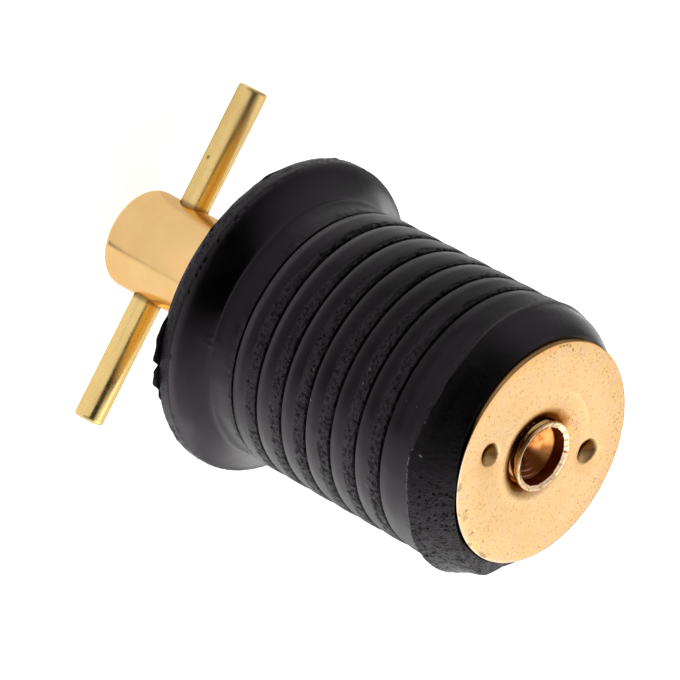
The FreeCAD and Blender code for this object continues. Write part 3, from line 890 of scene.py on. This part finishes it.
def make_plate(settings):
    """Nut plate: shallow dished face, drawn and tapped hole, two punched dimples with bumps behind them."""
    top, low, collar_low = PLATE_HIGH.z, RUBBER_HIGH.z, PLATE_LOW.z
    edge, bore, entry, edge_round, seed = PLATE_HIGH.x - 0.02, 3.15, 1.1, 0.08, settings.seed
    flat = edge - edge_round
    corners = [(bore, collar_low + 0.1), (bore, top - entry, 22)]
    corners += quarter((bore + entry, top - entry), entry, 180, 90, 9)
    corners += [(5.2, top, 5), (7.6, top, 26), (edge - 0.6, top, 10), (flat - 0.03, top, 3), (flat, top, 1)]
    corners += quarter((flat, top - edge_round), edge_round, 90, 0, 5)
    corners += [(edge, low + 0.12, 8), (edge - 0.12, low, 2), (7.6, low, 8), (5.2, low, 24), (4.4, low, 3)]
    corners += quarter((4.4, low - 0.25), 0.25, 90, 180, 4)
    corners += [(4.15, collar_low + 0.15, 6), (4.0, collar_low, 1), (bore + 0.15, collar_low, 3)]
    radii, heights, turns, degrees, skin = turned_surface(trace(corners), columns=480, mean_radius=7.0)
    reach, level = radii + 0 * turns, heights + 0 * turns
    x_grid, y_grid = reach * np.cos(turns), reach * np.sin(turns)
    face, back = heights > top - 0.02, (np.abs(heights - low) < 0.01) & (radii > 4.4)
    front = heights > top - 1.2

    def away_from(place):
        return np.hypot(x_grid - place[0], y_grid - place[1])

    # Dimples with bumps behind them and painted shade in them, round dents with a dark ring round each, and dark
    # specks.
    radius, depth = settings.dimple_diameter / MM / 2, settings.dimple_depth / MM
    grime_and_shade = 0 * x_grid
    uneven = 1 + 0.10 * np.clip(skin.noise(seed + 5, 0.5, 0.6), -1.5, 1.5)
    for place, shrink in zip(DIMPLES, DIMPLE_SHRINK):
        away = away_from(place) * uneven * shrink
        bowl = depth * np.clip(1 - away / radius, 0, 1) ** 0.8 + 0.02 * fall(radius * 0.9, radius * 1.5, away)
        level -= face * bowl + back * 0.45 * fall(0.1, 1.05, away)
        # Painted shade: each dimple is darkened, least on its +X side.
        lower = (x_grid - place[0] + 0.3 * (y_grid - place[1])) / radius
        dark = (1 - 0.6 * ramp(-0.1, 0.8, lower)) * fall(radius * 0.75, radius * 1.15, away)
        grime_and_shade = np.maximum(grime_and_shade, dark)
    for distance, azimuth, size in PLATE_DENTS:
        away = away_from(polar(distance, azimuth))
        level -= face * 0.07 * fall(size * 0.2, size, away)
        grime_and_shade = np.maximum(grime_and_shade, 0.45 * peak(away, size * 0.7, size * 0.3))
    for distance, azimuth in PLATE_SPOTS:
        away = away_from(polar(distance, azimuth))
        grime_and_shade = np.maximum(grime_and_shade, 0.8 * face * fall(0.07, 0.17, away * uneven))

    # Waves, the ring beside the hole, the dish and the lean of the face, and the rim's ragged edge.
    level += face * (0.008 * skin.noise(seed, 2.2, 2.6) - 0.03) * ramp(4.3, 5.2, reach)
    level += face * 0.015 * peak(reach, 6.2, 0.25) * window(degrees, 120, 250, 60)
    level -= settings.dish / MM * fall(3.0, 9.6, radii) * ramp(top - entry, top - 0.1, heights)
    lean = PLATE_LEAN * (1 + np.cos(turns - math.radians(PLATE_LOW_SIDE)))
    level -= np.clip((heights - low) / (top - low), 0, 1) * lean * reach / edge
    ragged_edge = np.clip(1 + noise_sheet(seed + 1, 8, len(turns), 0.5, 14)[0], 0, 3)
    reach -= (radii > edge - 0.3) * 0.01 * ragged_edge

    # Thread in the hole.
    in_bore = (radii < bore + 0.01) & (heights < top - entry + 0.01)
    tooth = 1 - thread_flank(level, turns, THREAD_PITCH)
    inside = ramp(collar_low, collar_low + 0.5, level) * fall(top - entry - 0.3, top - entry, level)
    reach -= in_bore * inside * np.clip(0.5 - tooth * 0.62, 0, 0.45)

    # Marks round the hole, on the rim's wall, beside the dimples and along the edge. Round the hole it is
    # painted shade of the rounded entry, deepest between -200 and -95 and between -70 and 15 degrees, warm
    # brown by the stem and amber further out, over a faint brown all round. The wall has brown streaks and
    # painted shade in the slot beside the rubber, and the edge gets a dark line on its round.
    patchy = 0.5 + 0.5 * np.clip(skin.noise(seed + 2, 0.5, 0.7), -1, 1)
    ring, near_hole = fall(3.8, 5.2, radii) * front, fall(3.75, 4.55, radii) * front
    # Painted shade of the hole's rounded entry is weighted to these sides, over a base that goes all round.
    stain_and_shade_by_side = np.clip(0.3 + 0.7 * window(degrees, -200, -95, 50) + 0.6 * window(degrees, -70, 15, 40), 0, 1)
    on_wall = ramp(edge - 0.12, edge - 0.02, radii) * ramp(low, low + 0.1, heights)
    streaks = np.clip(0.35 + 0.4 * skin.noise(seed + 3, 0.8, 0.35), 0, 1)
    # Amber on the wall, and amber round the painted shade of the hole between -200 and -90 degrees.
    amber = 0.85 * on_wall + 0.6 * ring * window(degrees, -200, -90, 50)
    for x, y in DIMPLES:
        amber += 0.4 * face * fall(0.8, 1.9, away_from((x + 0.9, y + 0.3)))
    amber += 0.45 * face * ramp(edge - 1.0, edge - 0.2, radii) * window(degrees, -175, -85, 40)
    crease = ramp(top - 0.30, top - 0.16, heights) * fall(top - 0.16, top - 0.06, heights)
    crease = crease * (radii > edge - 0.1) * (0.45 + 0.45 * patchy)
    rubbed = ramp(edge - 1.3, edge - 0.2, radii) * face * window(degrees, -75, 10, 30)
    rubbed = rubbed * 0.45 * ramp(0.9, 1.7, skin.noise(seed + 4, 0.11, 0.15))
    for more in (near_hole * (0.55 + 0.3 * patchy) * stain_and_shade_by_side, on_wall * streaks * 0.35, crease, rubbed):
        grime_and_shade = np.maximum(grime_and_shade, more)
    worn = 0.35 + 0.65 * ramp(8.0, 9.8, radii) + fall(4.4, 6.4, radii) * window(degrees, 95, 215, 40)
    # Painted highlight: a pale line along the face's edge between -80 and 35 degrees.
    rim_highlight = ramp(edge - 0.2, edge - 0.14, radii) * (heights > top - 0.12) * window(degrees, -80, 35, 30)
    fields = {
        "grime_and_shade": grime_and_shade,
        "worn": worn,
        "shade": on_wall * fall(top - 0.2, top - 0.1, heights) * window(degrees, -92, 28, 16),
        "amber": np.clip(amber, 0, 1),
        # Painted highlight along the edge.
        "pale": 0.55 * rim_highlight,
        # Brown all round the hole, with painted shade added between -215 and -80 degrees.
        "stain_and_shade": near_hole * (0.35 + 0.6 * window(degrees, -215, -80, 50)),
    }

    points = turn_points(reach, level, turns)
    points[..., :2] += np.array(PLATE_SHIFT) * ramp(5.0, 9.0, radii)[..., None]
    made = grid_object("plate", points, loop=True, fields=fields, sharp=35)
    colour, brush = tuple(settings.colour), (1.0, 1.0, 1.0)
    dress(made, brass_finish("stamped_brass", colour, 0.30, brush, speck_share=0.6, cloud_share=0.6, grain=4.5))
    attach(made, "plate")
    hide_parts("nut_plate")


# ---- stage


def flat_card(name, corners, material):
    """Flat card with four or more sides, from its corners in millimetres."""
    mesh = bpy.data.meshes.new(name)
    mesh.from_pydata([tuple(value * MM for value in corner) for corner in corners], [], [list(range(len(corners)))])
    made = linked(name, mesh)
    dress(made, material)
    return made


def mirrored_card(name, corners, strength):
    """Even card of one brightness, for reflections only."""
    look = Finish(name)
    card = flat_card(name, corners, look.finish(look.glow(strength)))
    for ray in ("camera", "diffuse", "transmission", "volume_scatter", "shadow"):
        setattr(card, "visible_" + ray, False)


def ring_arc(radius, first, last, height=0.6):
    """Points along an arc over the floor, between two azimuths in degrees."""
    turns = np.radians(np.linspace(first, last, 40))
    return [(radius * math.cos(turn), radius * math.sin(turn), height) for turn in turns]


def floor_finish(settings):
    """Plain pale floor: white to the camera but for the object's shadow, white to polished metal."""
    look = Finish("floor")
    rays = look.add("ShaderNodeLightPath").outputs
    matt = look.add("ShaderNodeBsdfDiffuse", {"Color": tuple(settings.floor_colour)}).outputs[0]
    seen = look.add("ShaderNodeAddShader", {0: matt, 1: look.glow(0.8)}).outputs[0]
    polished = look.calc(rays["Is Glossy Ray"], rays["Is Transmission Ray"], "MAXIMUM")
    shown = look.add("ShaderNodeMixShader", {0: rays["Is Camera Ray"], 1: matt, 2: seen}).outputs[0]
    return look.finish(look.add("ShaderNodeMixShader", {0: polished, 1: shown, 2: look.glow(1.0)}).outputs[0])


def make_world():
    """White background, and a soft studio: bright behind and on the right, dim on the left, dark in front."""
    look = Finish("studio", "World", "Generated")
    strength = look.add("ShaderNodeLightPath").outputs["Is Camera Ray"]
    for direction, low, high, most in (
        ((0.3, 0.7, 0.65), 0.45, 0.72, 1.0),
        ((1, 0, 0), 0.25, 0.95, 1.0),
        ((-1, 0, 0), 0.42, 0.85, 0.5),
    ):
        side = look.add("ShaderNodeVectorMath", {0: look.place, 1: direction}, operation="DOT_PRODUCT")
        strength = look.calc(look.span(side.outputs["Value"], low, high, 0.0, most, "LINEAR"), strength, "MAXIMUM")
    look.finish(look.add("ShaderNodeBackground", {"Color": (1, 1, 1), "Strength": strength}).outputs[0])
    bpy.context.scene.world = look.owner


def make_light(settings):
    """Large soft light behind the plug, on the right."""
    middle, direction, distance = Vector((0, 0, 0.03)), Vector((0.5, 0.55, 0.75)), 0.6
    lamp = bpy.data.lights.new("key", "AREA")
    lamp.shape, lamp.size, lamp.energy = "SQUARE", 0.5, settings.key_power
    made = linked("key", lamp)
    made.location = middle + direction.normalized() * distance
    made.rotation_mode = "QUATERNION"
    made.rotation_quaternion = (middle - made.location).to_track_quat("-Z", "Y")


def make_camera(settings):
    """Camera at the photographed angle: above the floor in front of the bar, and rolled."""
    tilt, roll = settings.elevation, settings.roll
    turn = Matrix.Rotation(settings.azimuth, 3, "Z")
    toward = turn @ Vector((0, -math.cos(tilt), math.sin(tilt)))
    across, up = turn @ Vector((1, 0, 0)), turn @ Vector((0, math.sin(tilt), math.cos(tilt)))
    right = math.cos(roll) * across + math.sin(roll) * up
    over = -math.sin(roll) * across + math.cos(roll) * up
    camera = bpy.data.cameras.new("camera")
    camera.lens, camera.sensor_width = settings.lens, 36
    camera.clip_start, camera.clip_end = 0.01, 20
    made = linked("camera", camera)
    matrix = Matrix((right, over, toward)).transposed().to_4x4()
    matrix.translation = Vector(settings.place)
    made.matrix_world = matrix
    bpy.context.scene.camera = made


def make_stage(settings):
    bpy.context.scene.view_settings.view_transform = "Standard"
    make_camera(settings)
    make_world()
    span = 3000
    flat_card("floor", [(-span, -span, 0), (span, -span, 0), (span, span, 0), (-span, span, 0)], floor_finish(settings))
    make_light(settings)

    # Grey pieces of rings on the floor, which the ribs mirror: dim on the camera's side, brighter round it.
    # Each ring has its radii and grey, and each side its azimuths and how much brighter it is.
    rings = [(34, 50, 0.30), (50, 58, 0.24), (58, 70, 0.13), (70, 76, 0.30)]
    sides = [(-55, -150, 1.0), (-150, -167, 1.45), (-167, -208, 1.7), (-208, -228, 2.1)]
    pieces = [(*ring[:2], *side[:2], ring[2] * side[2]) for ring in rings for side in sides]
    pieces += [(76, 900, -55, -150, 0.60), (76, 900, -150, -208, 0.34), (76, 900, -208, -228, 0.5)]
    pieces += [(34, 900, -228, -240, 0.7), (34, 76, -55, -42, 0.5), (34, 76, -42, -24, 0.75)]
    pieces += [(34, 76, -24, 34, 1.1), (34, 76, 34, 52, 0.75), (34, 76, 52, 120, 0.4)]
    pieces += [(76, 900, -55, -4, 0.8), (76, 900, -4, 34, 1.1), (76, 900, 34, 120, 1.5)]
    for inner, outer, first, last, grey in pieces:
        mirrored_card("floor_ring", ring_arc(inner, first, last) + ring_arc(outer, last, first), grey)

    # Pale screen before the handle, under the flange's rim, which fills the bar's reflections.
    front = -12.0
    for left, right, bottom, top, pale in (
        (-19, 19, 1.8, 13.7, 0.96),
        (9.97, 19, 0.3, 1.8, 1.0),
        (9.2, 9.97, 0.3, 1.8, 0.45),
        (-19, 9.2, 0.3, 1.8, 0.86),
    ):
        corners = [(left, front, bottom), (right, front, bottom), (right, front, top), (left, front, top)]
        mirrored_card("handle_screen", corners, pale)

    # Pale cards on the floor from the barrel to the screen and on its left, and the line at their right end.
    shade = [(1.9, -4.5, 0.3), (9.97, front, 0.3), (-19, front, 0.3), (-19, -2, 0.3)]
    mirrored_card("handle_shade", shade + ring_arc(4.8, -170, -67, 0.3), 0.86)
    shade = [(-19, -2, 0.3), (-19, 16, 0.3), (-9, 16, 0.3)]
    mirrored_card("handle_shade", shade + ring_arc(4.8, -212, -170, 0.3), 0.72)
    line = [(1.9, -4.5, 0.35), (9.97, front, 0.35), (9.3, front, 0.35), (1.4, -4.7, 0.35)]
    mirrored_card("handle_line", line, 0.45)


# ---- add-on


class DRAINPLUG_OT_rubber(bpy.types.Operator):
    """Build the ribbed rubber body with its flange, grooves, pits and flash"""

    bl_idname = "drain_plug.rubber"
    bl_label = "Rubber body"

    def execute(self, context):
        make_rubber(context.scene.drain_plug_rubber)
        return {"FINISHED"}


class DRAINPLUG_OT_spindle(bpy.types.Operator):
    """Build the handle barrel with its threaded stem and flared end"""

    bl_idname = "drain_plug.spindle"
    bl_label = "Barrel and stem"

    def execute(self, context):
        make_spindle(context.scene.drain_plug_handle)
        return {"FINISHED"}


class DRAINPLUG_OT_bar(bpy.types.Operator):
    """Build the cross bar through the barrel"""

    bl_idname = "drain_plug.bar"
    bl_label = "Cross bar"

    def execute(self, context):
        make_cross_bar(context.scene.drain_plug_handle)
        return {"FINISHED"}


class DRAINPLUG_OT_plates(bpy.types.Operator):
    """Build the nut plate and finish the thrust washer"""

    bl_idname = "drain_plug.plates"
    bl_label = "Nut plate and washer"

    def execute(self, context):
        make_plate(context.scene.drain_plug_plate)
        dress_washer()
        return {"FINISHED"}


class DRAINPLUG_OT_stage(bpy.types.Operator):
    """Set up the camera, floor, soft lights and reflection cards"""

    bl_idname = "drain_plug.stage"
    bl_label = "Stage"

    def execute(self, context):
        make_stage(context.scene.drain_plug_stage)
        return {"FINISHED"}


class DRAINPLUG_PT_panel(bpy.types.Panel):
    """Lists the plug's pieces with their settings"""

    bl_idname = "DRAINPLUG_PT_panel"
    bl_label = "Drain plug"
    bl_space_type = "VIEW_3D"
    bl_region_type = "UI"
    bl_category = "Drain plug"

    def draw(self, context):
        for operator, group in STEPS:
            column = self.layout.column()
            column.operator(operator)
            settings = getattr(context.scene, group)
            for key in settings.__annotations__:
                column.prop(settings, key)


STEPS = [
    ("drain_plug.rubber", "drain_plug_rubber"),
    ("drain_plug.spindle", "drain_plug_handle"),
    ("drain_plug.bar", "drain_plug_handle"),
    ("drain_plug.plates", "drain_plug_plate"),
    ("drain_plug.stage", "drain_plug_stage"),
]
GROUPS = {
    "drain_plug_rubber": RubberSettings,
    "drain_plug_handle": HandleSettings,
    "drain_plug_plate": PlateSettings,
    "drain_plug_stage": StageSettings,
}
CLASSES = [
    *GROUPS.values(),
    DRAINPLUG_OT_rubber,
    DRAINPLUG_OT_spindle,
    DRAINPLUG_OT_bar,
    DRAINPLUG_OT_plates,
    DRAINPLUG_OT_stage,
    DRAINPLUG_PT_panel,
]


def register():
    for part in CLASSES:
        bpy.utils.register_class(part)
    for name, group in GROUPS.items():
        setattr(bpy.types.Scene, name, bpy.props.PointerProperty(type=group))


def unregister():
    for name in GROUPS:
        delattr(bpy.types.Scene, name)
    for part in reversed(CLASSES):
        bpy.utils.unregister_class(part)


def main():
    register()
    for operator, _ in STEPS:
        family, name = operator.split(".")
        getattr(getattr(bpy.ops, family), name)()


if __name__ == "__main__":
    main()
